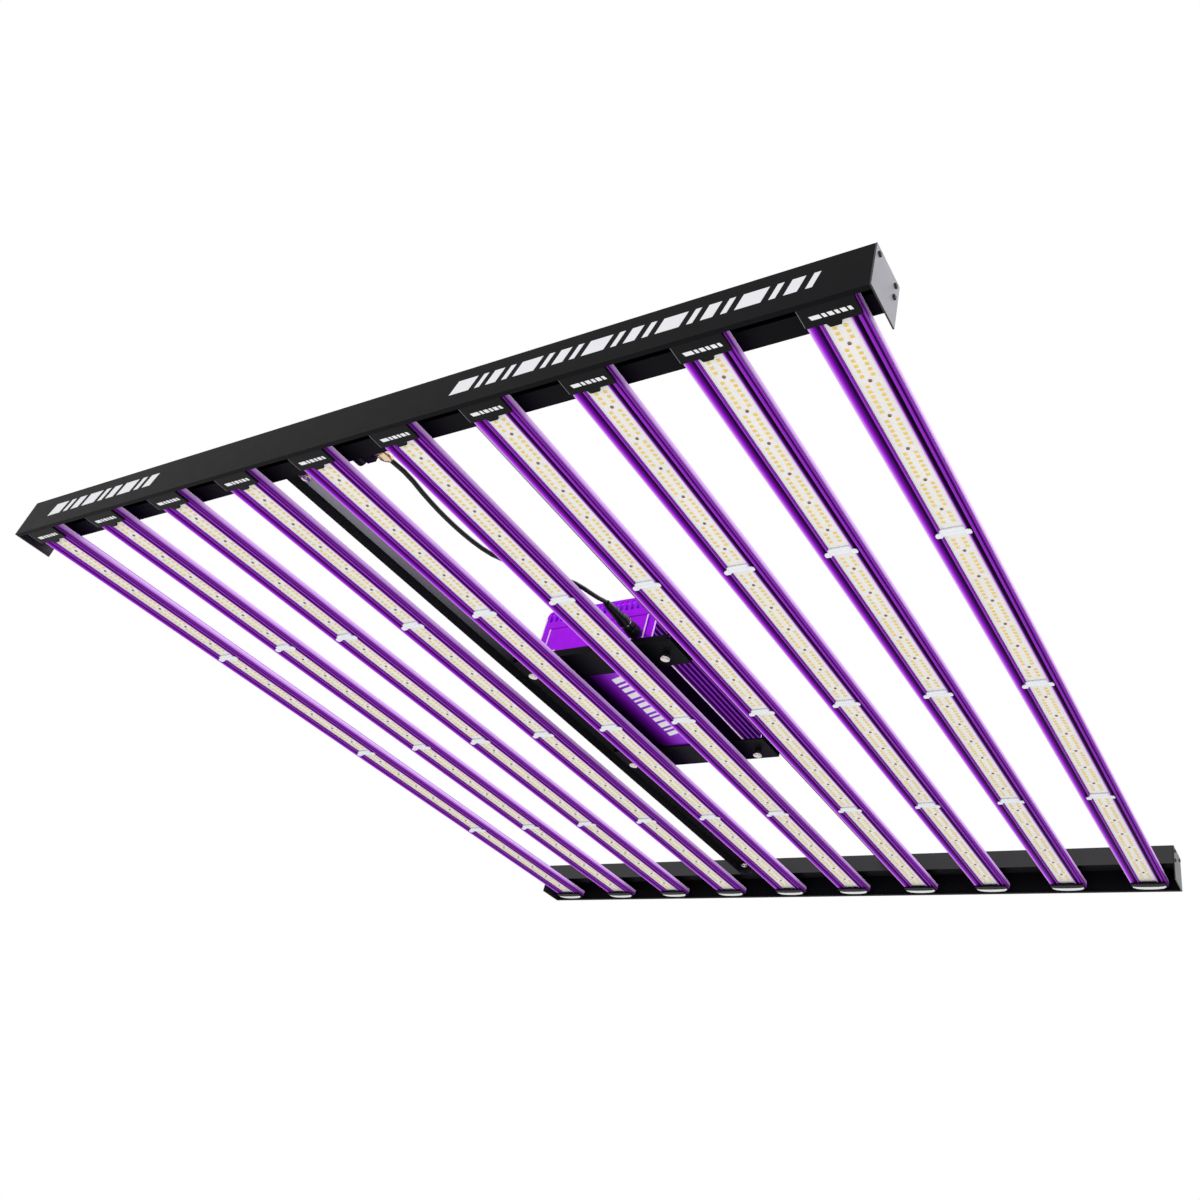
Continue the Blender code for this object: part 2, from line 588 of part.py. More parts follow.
def make_fittings(materials):
    """The gland, control socket and dimmer knob on the near channel's inner wall."""
    wall_face = -INNER_WALL_Y
    outside = GLAND_END_Y - wall_face
    profile = (
        (0, -0.0085), (GLAND_THREAD_RADIUS, -0.0085), (GLAND_THREAD_RADIUS, GAP), (0.0083, GAP),
        (0.0083, 0.0060), (0.0070, 0.0066), (0.0076, 0.0072), (0.0076, 0.0150),
        (0.0055, outside - 0.0020), (0.0045, outside), (0, outside),
    )
    gland = point_along_y(turned_mesh("cable_gland", profile, 12))
    place("cable_gland", gland, materials["brass"], (GLAND_X, wall_face, GLAND_Z))

    profile = (
        (0, -0.0075), (KNOB_SHAFT_RADIUS, -0.0075), (KNOB_SHAFT_RADIUS, 0.0010), (0.0068, 0.0010),
        (0.0066, 0.0130), (0.0056, 0.0140), (0, 0.0140),
    )
    knob = point_along_y(turned_mesh("dimmer_knob", profile, 20))
    place("dimmer_knob", knob, materials["plastic"], (KNOB_X, wall_face, FITTING_Z))

    socket_mesh = box_mesh("control_socket", (-0.0060, GAP, -0.0056), (0.0060, 0.0130, 0.0056))
    socket = place("control_socket", socket_mesh, materials["plastic"], (SOCKET_X, wall_face, FITTING_Z))
    back = box_mesh("socket_back", (-0.0045, -0.0100, -0.0040), (0.0045, 0.0040, 0.0040))
    combine(socket, place("socket_back", back, None, socket.location), "UNION")
    mouth = box_mesh("socket_mouth", (-0.0044, 0.0050, -0.0034), (0.0044, 0.0180, 0.0034))
    combine(socket, place("socket_mouth", mouth, None, socket.location), "DIFFERENCE")


def make_plug_and_lead(materials):
    length = PLUG_ROOT_Y - PLUG_TIP_Y
    ring_start, ring_end = 0.0030, 0.0150
    body_radius = 0.0068
    profile = (
        (0, 0), (body_radius, 0), (body_radius, ring_end + GAP), (0.0082, ring_end + GAP + 0.0010),
        (0.0082, 0.0330), (0.0068, 0.0350), (0.0052, length - 0.0030), (0.0044, length), (0, length),
    )
    plug = point_along_y(turned_mesh("supply_plug", profile, 20), -1)
    place("supply_plug", plug, materials["plastic"], (PLUG_X, PLUG_ROOT_Y, PLUG_Z))

    bore = body_radius + 0.0001
    ring_profile = (
        (bore, ring_start), (0.0086, ring_start), (0.0092, ring_start + 0.0008),
        (0.0092, ring_end - 0.0008), (0.0086, ring_end), (bore, ring_end),
    )
    ring = point_along_y(ring_mesh("plug_locking_ring", ring_profile, 20), -1)
    place("plug_locking_ring", ring, materials["plastic"], (PLUG_X, PLUG_ROOT_Y, PLUG_Z))

    start = Vector((GLAND_X, GLAND_END_Y + GAP, GLAND_Z))
    end = Vector((PLUG_X, PLUG_TIP_Y - GAP, PLUG_Z))
    lead = [start, *smooth_points(CABLE_ROUTE, 5.2 * CABLE_RADIUS), end]
    tube("driver_lead", lead, CABLE_RADIUS, materials["rubber"])
    harness = [(x * HARNESS_HALF_LENGTH / 4, HARNESS_Y, 0.0372 - 0.0012 * (x % 2)) for x in range(-4, 5)]
    tube("wiring_harness", smooth_points(harness, 0.033), HARNESS_RADIUS, materials["rubber"])


def ring_mesh(name, profile, sides):
    """Turns a closed profile of (radius, height) points round Z."""
    bm = bmesh.new()
    rings = []
    for radius, height in profile:
        turn = [2 * math.pi * i / sides for i in range(sides)]
        rings.append([bm.verts.new((radius * math.cos(a), radius * math.sin(a), height)) for a in turn])
    for k, low in enumerate(rings):
        high = rings[(k + 1) % len(rings)]
        for i in range(sides):
            j = (i + 1) % sides
            bm.faces.new([low[i], low[j], high[j], high[i]])
    mesh = bpy.data.meshes.new(name)
    finish_mesh(mesh, bm)
    mesh.shade_smooth()
    mesh.set_sharp_from_angle(angle=math.radians(35))
    return mesh


def main():
    clear_scene()
    materials = {
        "powder_coat": make_material("black_powder_coat", (0.022, 0.021, 0.024), 0.42, 0.0),
        "anodised": make_material("purple_anodised_aluminium", (0.30, 0.03, 0.72), 0.28, 1.0),
        "board": make_material("white_board", (0.86, 0.86, 0.88), 0.45, 0.0),
        "plastic": make_material("black_plastic", (0.018, 0.018, 0.019), 0.38, 0.0),
        "plated_steel": make_material("plated_steel", (0.72, 0.70, 0.66), 0.25, 1.0),
        "brass": make_material("nickel_plated_brass", (0.78, 0.70, 0.52), 0.25, 1.0),
        "rubber": make_material("black_rubber", (0.015, 0.015, 0.016), 0.55, 0.0),
        "circuit_board": make_material("green_circuit_board", (0.05, 0.22, 0.09), 0.50, 0.0),
    }
    make_channels(materials)
    make_bars(materials)
    make_beams(materials)
    make_brackets(materials)
    make_driver(materials)
    make_thumbscrews(materials)
    make_fittings(materials)
    make_plug_and_lead(materials)


main()
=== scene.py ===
"""The look of the ten-bar LED grow light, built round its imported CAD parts."""

import itertools
import math

import bmesh
import bpy
from mathutils import Matrix, Vector


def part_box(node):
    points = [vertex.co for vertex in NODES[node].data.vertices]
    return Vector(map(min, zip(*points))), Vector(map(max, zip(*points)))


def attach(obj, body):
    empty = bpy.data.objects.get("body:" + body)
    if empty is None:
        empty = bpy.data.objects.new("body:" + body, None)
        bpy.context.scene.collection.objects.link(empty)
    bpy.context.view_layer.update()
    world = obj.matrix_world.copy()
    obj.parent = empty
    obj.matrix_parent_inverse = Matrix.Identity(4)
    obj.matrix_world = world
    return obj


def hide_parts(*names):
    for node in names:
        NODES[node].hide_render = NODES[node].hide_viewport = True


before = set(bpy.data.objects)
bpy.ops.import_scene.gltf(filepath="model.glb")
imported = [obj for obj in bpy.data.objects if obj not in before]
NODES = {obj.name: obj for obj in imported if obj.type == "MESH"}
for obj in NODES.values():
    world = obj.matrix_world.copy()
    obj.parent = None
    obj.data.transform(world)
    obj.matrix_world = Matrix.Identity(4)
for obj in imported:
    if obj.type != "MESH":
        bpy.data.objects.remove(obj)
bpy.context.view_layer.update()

BODY = "fixture"

# Bars and boards, in metres. Each board has two rows of LEDs, with a screw between them in place of
# one pair in every seven.

BAR_PITCH = 0.1161
BAR_XS = [(i - 4.5) * BAR_PITCH for i in range(10)]
BARS = [(f"{i:02d}", x) for i, x in enumerate(BAR_XS, 1)]
BOARD_LENGTH = 0.280
BOARD_YS = [(i - 1.5) * BOARD_LENGTH for i in range(4)]
CLIP_YS = (-0.28, 0.0, 0.28)
PLACES_PER_BOARD = 42
PLACES_PER_SCREW = 7
SCREW_PLACE = 3
LED_PITCH = 0.043 / PLACES_PER_SCREW
LED_ROW = 0.0049
BOARD_FACE_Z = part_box("led_board_strip_01")[0][2]

# The channels' inner walls stand this far from the middle, towards -Y and +Y.

INNER_WALL_Y = 0.535

# Limits that choose which material a CAD face takes

BAR_SIDE_X = 0.0254
WING_INNER_X = 0.0115
WING_TOP_Z = 0.0074
BEAM_WEB_Z = 0.035
DRIVER_BASE_Z = 0.0275
DRIVER_FLANK_X = 0.084
DRIVER_FLANK_TOP_Z = 0.0765

CORNERS = ((-1, -1), (1, -1), (1, 1), (-1, 1))
MARK_THICKNESS = 0.00015


# Materials. The purples of the anodised parts are display values of 0 to 255. They colour the painted bands
# of reflection and shade on the bar wings, bar sides and driver's lower face.

PALE = (236, 204, 249)
LAVENDER = (211, 152, 239)
MAUVE = (178, 112, 212)
BRIGHT = (172, 60, 218)
VIVID = (150, 20, 215)
PURPLE = (122, 8, 172)
PLUM = (112, 34, 148)
DEEP = (66, 8, 94)
DARK = (28, 0, 46)
BLACK = (14, 0, 26)


def new_material(name, colour, roughness, metallic=0.0, specular=0.5):
    material = bpy.data.materials.new(name)
    material.use_nodes = True
    shader = material.node_tree.nodes["Principled BSDF"]
    shader.inputs["Base Color"].default_value = (*colour, 1.0)
    shader.inputs["Roughness"].default_value = roughness
    shader.inputs["Metallic"].default_value = metallic
    shader.inputs["Specular IOR Level"].default_value = specular
    return material


def noise_chain(material, scale, stretch):
    """A noise texture in object coordinates, stretched along the axes given."""
    nodes, links = material.node_tree.nodes, material.node_tree.links
    coordinates = nodes.new("ShaderNodeTexCoord")
    mapping = nodes.new("ShaderNodeMapping")
    mapping.inputs["Scale"].default_value = stretch
    noise = nodes.new("ShaderNodeTexNoise")
    noise.inputs["Scale"].default_value = scale
    noise.inputs["Detail"].default_value = 4.0
    links.new(coordinates.outputs["Object"], mapping.inputs["Vector"])
    links.new(mapping.outputs["Vector"], noise.inputs["Vector"])
    return noise


def vary_colour(material, low, high, scale, stretch=(1, 1, 1)):
    """Lets a colour drift from low to high by noise."""
    nodes, links = material.node_tree.nodes, material.node_tree.links
    noise = noise_chain(material, scale, stretch)
    ramp = nodes.new("ShaderNodeValToRGB")
    ramp.color_ramp.elements[0].position = 0.35
    ramp.color_ramp.elements[0].color = (*low, 1)
    ramp.color_ramp.elements[1].position = 0.65
    ramp.color_ramp.elements[1].color = (*high, 1)
    links.new(noise.outputs["Fac"], ramp.inputs["Fac"])
    links.new(ramp.outputs["Color"], nodes["Principled BSDF"].inputs["Base Color"])


def vary_roughness(material, low, high, scale, stretch=(1, 1, 1)):
    nodes, links = material.node_tree.nodes, material.node_tree.links
    noise = noise_chain(material, scale, stretch)
    spread = nodes.new("ShaderNodeMapRange")
    spread.inputs["To Min"].default_value = low
    spread.inputs["To Max"].default_value = high
    links.new(noise.outputs["Fac"], spread.inputs["Value"])
    links.new(spread.outputs["Result"], nodes["Principled BSDF"].inputs["Roughness"])


def add_bump(material, scale, strength, distance, stretch=(1, 1, 1)):
    nodes, links = material.node_tree.nodes, material.node_tree.links
    noise = noise_chain(material, scale, stretch)
    bump = nodes.new("ShaderNodeBump")
    bump.inputs["Strength"].default_value = strength
    bump.inputs["Distance"].default_value = distance
    links.new(noise.outputs["Fac"], bump.inputs["Height"])
    links.new(bump.outputs["Normal"], nodes["Principled BSDF"].inputs["Normal"])


def object_axis(material, axis):
    """The socket that gives a point's distance along an axis of its object."""
    nodes, links = material.node_tree.nodes, material.node_tree.links
    coordinates = nodes.new("ShaderNodeTexCoord")
    split = nodes.new("ShaderNodeSeparateXYZ")
    links.new(coordinates.outputs["Object"], split.inputs["Vector"])
    return split.outputs[axis]


def colour_by(material, socket, low, high, stops):
    """Colours a material by a socket's value. stops are (share of the way from low to high, colour)."""
    nodes, links = material.node_tree.nodes, material.node_tree.links
    spread = nodes.new("ShaderNodeMapRange")
    spread.inputs["From Min"].default_value = low
    spread.inputs["From Max"].default_value = high
    ramp = nodes.new("ShaderNodeValToRGB")
    elements = ramp.color_ramp.elements
    while len(elements) < len(stops):
        elements.new(0.5)
    for element, (share, colour) in zip(elements, stops):
        element.position = share
        element.color = (*[linear(value) for value in colour], 1)
    links.new(socket, spread.inputs["Value"])
    links.new(spread.outputs["Result"], ramp.inputs["Fac"])
    links.new(ramp.outputs["Color"], nodes["Principled BSDF"].inputs["Base Color"])


def axis_ramp(material, axis, stops):
    """Colours a material along an axis. stops are (millimetres along it, colour)."""
    low, high = stops[0][0], stops[-1][0]
    shares = [((place - low) / (high - low), colour) for place, colour in stops]
    colour_by(material, object_axis(material, axis), low / 1000, high / 1000, shares)


def across_ramp(material, middle, period, reach, stops):
    """Colours a material across X, in the same way round each middle.

    One middle is given and the others are a period apart. stops are (millimetres from the middle, colour)
    and lie within reach of it.
    """
    nodes, links = material.node_tree.nodes, material.node_tree.links
    turns = nodes.new("ShaderNodeMath")
    turns.operation = "MULTIPLY_ADD"
    turns.inputs[1].default_value = 1 / period
    turns.inputs[2].default_value = 0.5 - middle / period
    within = nodes.new("ShaderNodeMath")
    within.operation = "FRACT"
    links.new(object_axis(material, "X"), turns.inputs[0])
    links.new(turns.outputs["Value"], within.inputs[0])
    shares = [((offset / 1000 + reach) / (2 * reach), colour) for offset, colour in stops]
    colour_by(material, within.outputs["Value"], 0.5 - reach / period, 0.5 + reach / period, shares)


def linear(value):
    """A display value of 0 to 255 as linear light."""
    share = value / 255
    return share / 12.92 if share <= 0.04045 else ((share + 0.055) / 1.055) ** 2.4


def make_wing_painted_light_material():
    """The wings of a bar, painted in bands of painted reflection and painted shade: light bands where ridges
    catch light, dark bands in the grooves. The right wing's follow its ribs and grooves.
    """
    wing = new_material("purple_wing_painted_reflection_and_shade", (0.2, 0.01, 0.4), 0.42, specular=0.03)
    across_ramp(wing, middle=BAR_XS[0], period=BAR_PITCH, reach=0.0262, stops=(
        (-26.0, PALE), (-24.0, LAVENDER), (-22.2, BRIGHT), (-20.0, PURPLE), (-18.0, DEEP),
        (-16.4, BLACK), (-15.2, DEEP), (-13.7, BRIGHT), (-12.5, PLUM),
        (13.0, LAVENDER), (13.9, PLUM), (14.7, DEEP), (15.5, BLACK), (17.9, BLACK), (18.5, DEEP),
        (19.3, BRIGHT), (20.1, BRIGHT), (20.9, PLUM), (21.6, DARK), (22.6, DARK), (23.3, PLUM),
        (24.0, BRIGHT), (24.7, BRIGHT), (25.5, DEEP),
    ))
    add_bump(wing, 900, 0.04, 0.0001, (1, 0.02, 1))
    return wing


def make_driver_base_painted_reflection_material():
    """The driver's lower face: a painted reflection, purple in the middle and nearly black along both sides.
    """
    base = new_material("purple_driver_base_painted_reflection", (0.2, 0.01, 0.4), 0.34, metallic=0.3, specular=0.2)
    across_ramp(base, middle=0, period=0.4, reach=0.092, stops=(
        (-92, BLACK), (-60, BLACK), (-38, DARK), (-14, PURPLE),
        (6, VIVID), (30, DEEP), (55, BLACK), (92, BLACK),
    ))
    add_bump(base, 700, 0.05, 0.0001, (1, 0.05, 1))
    return base


def make_materials():
    made = {}
    powder = new_material("black_powder_coat", (0.005, 0.0048, 0.006), 0.42, specular=0.04)
    add_bump(powder, 1400, 0.10, 0.0002)
    vary_roughness(powder, 0.38, 0.48, 60)
    made["powder"] = powder

    plate = new_material("black_powder_coat_plates", (0.012, 0.0115, 0.0135), 0.34)
    add_bump(plate, 1400, 0.03, 0.0001)
    vary_roughness(plate, 0.30, 0.38, 60)
    made["plate"] = plate

    beam = new_material("black_powder_coat_beams", (0.010, 0.010, 0.011), 0.50, specular=0.10)
    add_bump(beam, 1200, 0.12, 0.0002)
    made["beam"] = beam

    # The beams' web underside: a painted reflection, light grey at the near end, fading to near black before
    # the middle.
    web = new_material("black_beam_web_painted_reflection", (0.030, 0.030, 0.032), 0.45, specular=0.1)
    axis_ramp(web, "Y", (
        (-560, (165, 163, 172)), (-300, (112, 110, 118)), (-130, (34, 33, 36)), (560, (22, 22, 24)),
    ))
    add_bump(web, 1200, 0.12, 0.0002)
    made["beam_web"] = web

    purple = new_material("purple_anodised", (0.25, 0.008, 0.55), 0.34, metallic=0.5)
    vary_colour(purple, (0.235, 0.007, 0.52), (0.265, 0.009, 0.58), 220, (1, 0.04, 1))
    add_bump(purple, 900, 0.04, 0.0001, (1, 0.02, 1))
    made["purple"] = purple

    made["wing"] = make_wing_painted_light_material()

    # The bar sides: the purple lightened to lavender as a painted reflection, darker towards the bottom and
    # paler towards the top.
    side = new_material("lavender_side_painted_reflection", (0.51, 0.20, 0.83), 0.40, specular=0.12)
    axis_ramp(side, "Z", ((5.8, DEEP), (7.0, PLUM), (8.4, MAUVE), (9.7, LAVENDER), (13.4, PALE)))
    add_bump(side, 900, 0.03, 0.0001, (1, 0.02, 1))
    made["side"] = side

    driver = new_material("purple_anodised_driver", (0.40, 0.003, 0.86), 0.38, metallic=0.6, specular=0.08)
    vary_colour(driver, (0.38, 0.002, 0.82), (0.42, 0.004, 0.90), 90, (1, 0.1, 1))
    add_bump(driver, 700, 0.05, 0.0001, (1, 0.05, 1))
    made["driver"] = driver

    made["driver_base"] = make_driver_base_painted_reflection_material()

    # The driver's flank ribs: a darker copy of the driver's purple, as painted shade. The panel seams use it
    # too, as dark lines.
    flank = new_material("purple_flank_painted_shade_and_seam", (0.15, 0.0005, 0.30), 0.40, metallic=0.4, specular=0.05)
    vary_roughness(flank, 0.35, 0.45, 120, (1, 0.05, 1))
    made["flank"] = flank

    # Pale pink for painted highlights along the driver's edges.
    edge = new_material("pale_painted_edge_highlight", (0.98, 0.80, 0.96), 0.30)
    vary_roughness(edge, 0.25, 0.35, 200)
    made["edge"] = edge

    board = new_material("white_solder_mask", (0.80, 0.785, 0.75), 0.42)
    vary_colour(board, (0.785, 0.77, 0.73), (0.82, 0.805, 0.775), 40, (1, 0.3, 1))
    add_bump(board, 500, 0.03, 0.0001)
    made["board"] = board

    clip = new_material("white_clip_plastic", (0.80, 0.83, 0.86), 0.40)
    vary_roughness(clip, 0.36, 0.46, 180)
    made["clip"] = clip

    package = new_material("led_package", (0.84, 0.72, 0.36), 0.45)
    vary_roughness(package, 0.4, 0.5, 300)
    made["package"] = package

    phosphor = new_material("led_phosphor", (0.82, 0.56, 0.07), 0.38)
    vary_colour(phosphor, (0.86, 0.60, 0.09), (0.78, 0.52, 0.05), 35)
    made["phosphor"] = phosphor

    bronze = new_material("dark_bronze_screw", (0.26, 0.14, 0.10), 0.35, metallic=0.3)
    vary_roughness(bronze, 0.3, 0.45, 400)
    made["bronze"] = bronze

    plastic = new_material("black_plastic", (0.006, 0.006, 0.007), 0.28, specular=0.2)
    add_bump(plastic, 1500, 0.06, 0.0001)
    made["plastic"] = plastic

    cap = new_material("black_cap_plastic", (0.006, 0.006, 0.006), 0.42, specular=0.08)
    add_bump(cap, 1300, 0.10, 0.0001)
    made["cap"] = cap

    # White for the plain marks that stand for print, and for the painted highlight on the far caps' rims.
    mark = new_material("white_print_and_painted_highlight", (0.80, 0.80, 0.83), 0.45)
    vary_roughness(mark, 0.4, 0.5, 250)
    made["mark"] = mark

    # Grey for the painted highlight down the near caps' left edges.
    grey = new_material("grey_painted_edge_highlight", (0.16, 0.16, 0.18), 0.50)
    vary_roughness(grey, 0.45, 0.55, 250)
    made["grey"] = grey

    steel = new_material("nickel_screw", (0.82, 0.78, 0.70), 0.24, metallic=1.0)
    vary_roughness(steel, 0.20, 0.32, 300, (1, 1, 0.2))
    made["steel"] = steel

    collar = new_material("black_knurled_collar", (0.014, 0.013, 0.012), 0.30, metallic=0.4)
    vary_roughness(collar, 0.25, 0.38, 300)
    made["collar"] = collar

    brass = new_material("brass_gland", (0.86, 0.72, 0.42), 0.20, metallic=1.0)
    vary_roughness(brass, 0.15, 0.28, 180)
    made["brass"] = brass

    rubber = new_material("black_lead_rubber", (0.008, 0.008, 0.009), 0.38, specular=0.25)
    add_bump(rubber, 900, 0.08, 0.0001)
    made["rubber"] = rubber

    circuit = new_material("green_circuit_board", (0.04, 0.20, 0.08), 0.45)
    vary_colour(circuit, (0.035, 0.18, 0.07), (0.05, 0.23, 0.09), 120)
    made["circuit"] = circuit

    floor = new_material("pale_floor", (0.82, 0.82, 0.82), 0.65)
    vary_roughness(floor, 0.6, 0.7, 3)
    made["floor"] = floor
    return made


MATERIALS = make_materials()


# Mesh helpers

def dress(node, *materials):
    """Gives a CAD node its materials, first to last."""
    data = NODES[node].data
    data.materials.clear()
    for material in materials:
        data.materials.append(MATERIALS[material])
    return data


def new_object(name, bm, *materials):
    mesh = bpy.data.meshes.new(name)
    bmesh.ops.recalc_face_normals(bm, faces=bm.faces)
    bm.to_mesh(mesh)
    bm.free()
    for material in materials:
        mesh.materials.append(MATERIALS[material])
    made = bpy.data.objects.new(name, mesh)
    bpy.context.scene.collection.objects.link(made)
    return made


def piece(name, bm, *materials, body=BODY, smooth=None):
    """A mesh that rides on a body. smooth is the angle, in degrees, from which its edges stay sharp."""
    made = new_object(name, bm, *materials)
    if smooth is not None:
        made.data.shade_smooth()
        made.data.set_sharp_from_angle(angle=math.radians(smooth))
    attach(made, body)
    return made


def centre_of(box):
    """The middle of a box given as its low corner and its high corner."""
    low, high = box
    return [(a + b) / 2 for a, b in zip(low, high)]


def add_block(bm, low, high, material=0):
    """A box from its low corner to its high corner."""
    corners = [(x, y, z) for z in (low[2], high[2]) for y in (low[1], high[1]) for x in (low[0], high[0])]
    v = [bm.verts.new(c) for c in corners]
    for ids in ((0, 1, 3, 2), (4, 6, 7, 5), (0, 4, 5, 1), (2, 3, 7, 6), (0, 2, 6, 4), (1, 5, 7, 3)):
        bm.faces.new([v[i] for i in ids]).material_index = material


def add_solid(bm, near, far):
    """A closed solid between two outlines, given as lists of points."""
    near = [bm.verts.new(point) for point in near]
    far = [bm.verts.new(point) for point in far]
    bm.faces.new(near)
    bm.faces.new(list(reversed(far)))
    for i in range(len(near)):
        j = (i + 1) % len(near)
        bm.faces.new([near[i], near[j], far[j], far[i]])


def add_prism(bm, outline, axis, start, end):
    """An outline of (a, b) pairs carried from start to end along Y or Z."""
    def place(along):
        if axis == "Y":
            return [(a, along, b) for a, b in outline]
        return [(a, b, along) for a, b in outline]

    add_solid(bm, place(start), place(end))


def add_turned(bm, profile, centre, axis, sides=24, material=0, ribs=0.0):
    """A profile of (radius, height) turned round an axis through centre.

    Where a point of the profile has True as well, every other side is moved in by ribs.
    """
    turn = Vector((0, 0, 1)).rotation_difference(Vector(axis)).to_matrix()
    rings = []
    for radius, height, *ribbed in profile:
        if radius == 0:
            rings.append([bm.verts.new(Vector(centre) + turn @ Vector((0, 0, height)))])
            continue
        ring = []
        for i in range(sides):
            angle = 2 * math.pi * i / sides
            size = radius - (ribs if ribbed and i % 2 else 0)
            local = Vector((size * math.cos(angle), size * math.sin(angle), height))
            ring.append(bm.verts.new(Vector(centre) + turn @ local))
        rings.append(ring)
    for low, high in zip(rings, rings[1:]):
        for i in range(sides):
            corners = [low[i % len(low)], low[(i + 1) % len(low)]]
            corners += [high[(i + 1) % len(high)], high[i % len(high)]]
            bm.faces.new(list(dict.fromkeys(corners))).material_index = material


def round_edges(obj, width, segments=2):
    bevel = obj.modifiers.new("Edges", "BEVEL")
    bevel.width = width
    bevel.segments = segments
    bevel.limit_method = "ANGLE"
    bevel.angle_limit = math.radians(35)


# Bars: the extrusions take three materials, by which way each face of the profile looks: plain purple, a
# painted reflection on the sides, and painted bands of reflection and shade on the wings

def dress_bars():
    for number, x in BARS:
        data = dress("led_bar_extrusion_" + number, "purple", "side", "wing")
        for face in data.polygons:
            across = abs(face.center.x - x)
            # Side faces take the painted reflection, wing faces the painted bands of reflection and shade.
            if abs(face.normal.x) > 0.9 and across > BAR_SIDE_X:
                face.material_index = 1
            elif face.center.z < WING_TOP_Z and face.normal.z < 0.3 and across > WING_INNER_X:
                face.material_index = 2
        dress("led_board_strip_" + number, "board")


def add_led(bm, x, y, z):
    """One LED package with its phosphor window in its face, which looks down."""
    half_x, half_y, low = 0.00178, 0.00158, z - 0.0006

    def ring(share_x, share_y, height):
        corners = [(x + sx * half_x * share_x, y + sy * half_y * share_y, height) for sx, sy in CORNERS]
        return [bm.verts.new(corner) for corner in corners]

    outer = ring(1, 1, z - 0.00002)
    rim = ring(0.96, 0.96, low)
    lip = ring(0.86, 0.84, low)
    for i in range(4):
        j = (i + 1) % 4
        bm.faces.new([outer[i], outer[j], rim[j], rim[i]])
        bm.faces.new([rim[i], rim[j], lip[j], lip[i]])
    bm.faces.new(lip).material_index = 1
    bm.faces.new(list(reversed(outer)))


def make_bar_lights():
    """The LEDs of each bar, in two rows, and the board screws between them."""
    for number, x in BARS:
        leds = bmesh.new()
        screws = bmesh.new()
        for middle in BOARD_YS:
            for step in range(PLACES_PER_BOARD):
                y = middle + (step - (PLACES_PER_BOARD - 1) / 2) * LED_PITCH
                if step % PLACES_PER_SCREW == SCREW_PLACE:
                    add_board_screw(screws, x, y)
                    continue
                add_led(leds, x - LED_ROW, y, BOARD_FACE_Z)
                add_led(leds, x + LED_ROW, y, BOARD_FACE_Z)
        piece("leds_" + number, leds, "package", "phosphor")
        piece("board_screws_" + number, screws, "bronze", smooth=30)


def add_board_screw(bm, x, y):
    """A small pan head with a socket in it."""
    profile = (
        (0.0018, 0), (0.0017, 0.0006), (0.0012, 0.0009), (0.0008, 0.0009), (0.0007, 0.0004), (0, 0.0004),
    )
    add_turned(bm, profile, (x, y, BOARD_FACE_Z), (0, 0, -1), sides=10)


# Clips over the board joints and in the middle of each bar

def make_clips():
    """A clip is a bridge over the board, with an ear at each end and a raised line along its middle."""
    bridge = (
        (-0.0121, 0.0032), (-0.0108, 0.0048), (0.0108, 0.0048), (0.0121, 0.0032),
        (0.0127, 0.0041), (0.0118, 0.0066), (-0.0118, 0.0066), (-0.0127, 0.0041),
    )
    ear = (
        (0.0118, -0.0030), (0.0165, -0.0016), (0.0178, 0.0004),
        (0.0178, 0.0034), (0.0168, 0.0046), (0.0118, 0.0046),
    )
    for number, x in BARS:
        for letter, y in zip("abc", CLIP_YS):
            bm = bmesh.new()
            add_prism(bm, [(x + a, z) for a, z in bridge], "Y", y - 0.0047, y + 0.0047)
            for side in (-1, 1):
                add_prism(bm, [(x + side * a, y + b) for a, b in ear], "Z", 0.0028, 0.0041)
            add_block(bm, (x - 0.0100, y - 0.0006, 0.0044), (x + 0.0100, y + 0.0006, 0.0050))
            clip = piece(f"board_clip_{number}_{letter}", bm, "clip")
            round_edges(clip, 0.0004)


# Plain marks, where the real object has lettering

def slanted_stripes(bm, widths, gap, start, height, origin, along, across, lift, slant=0.35):
    """A row of plain slanted stripes in the plane of the vectors along and across, lifted off it."""
    origin, along, across, lift = Vector(origin), Vector(along), Vector(across), Vector(lift)
    at = start
    lean = slant * height
    for width in widths:
        corners = ((at, 0), (at + width, 0), (at + width + lean, height), (at + lean, height))
        low = [origin + along * a + across * b for a, b in corners]
        add_solid(bm, low, [point + lift for point in low])
        at += width + gap


# End caps

def make_near_cap(number, x):
    """Stripes on a near cap's lower face and a thin grey line down its left edge as a painted highlight. The
    cap is in the CAD.
    """
    dress("bar_end_cap_" + number, "cap")
    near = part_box("bar_end_cap_" + number)
    face_z = near[0][2]
    widths = (0.0090, 0.0030, 0.0045, 0.0030, 0.0045, 0.0030)
    bm = bmesh.new()
    slanted_stripes(
        bm, widths, gap=0.0018, start=-0.0175, height=0.0040,
        origin=(x, -0.5672, face_z), along=(1, 0, 0), across=(0, 1, 0), lift=(0, 0, -MARK_THICKNESS),
    )
    piece("cap_mark_" + number, bm, "mark")
    bm = bmesh.new()
    add_block(bm, (x - 0.0247, -0.5755, face_z - 0.0001), (x - 0.0242, -0.5575, face_z + 0.0006))
    piece("cap_edge_highlight_" + number, bm, "grey")


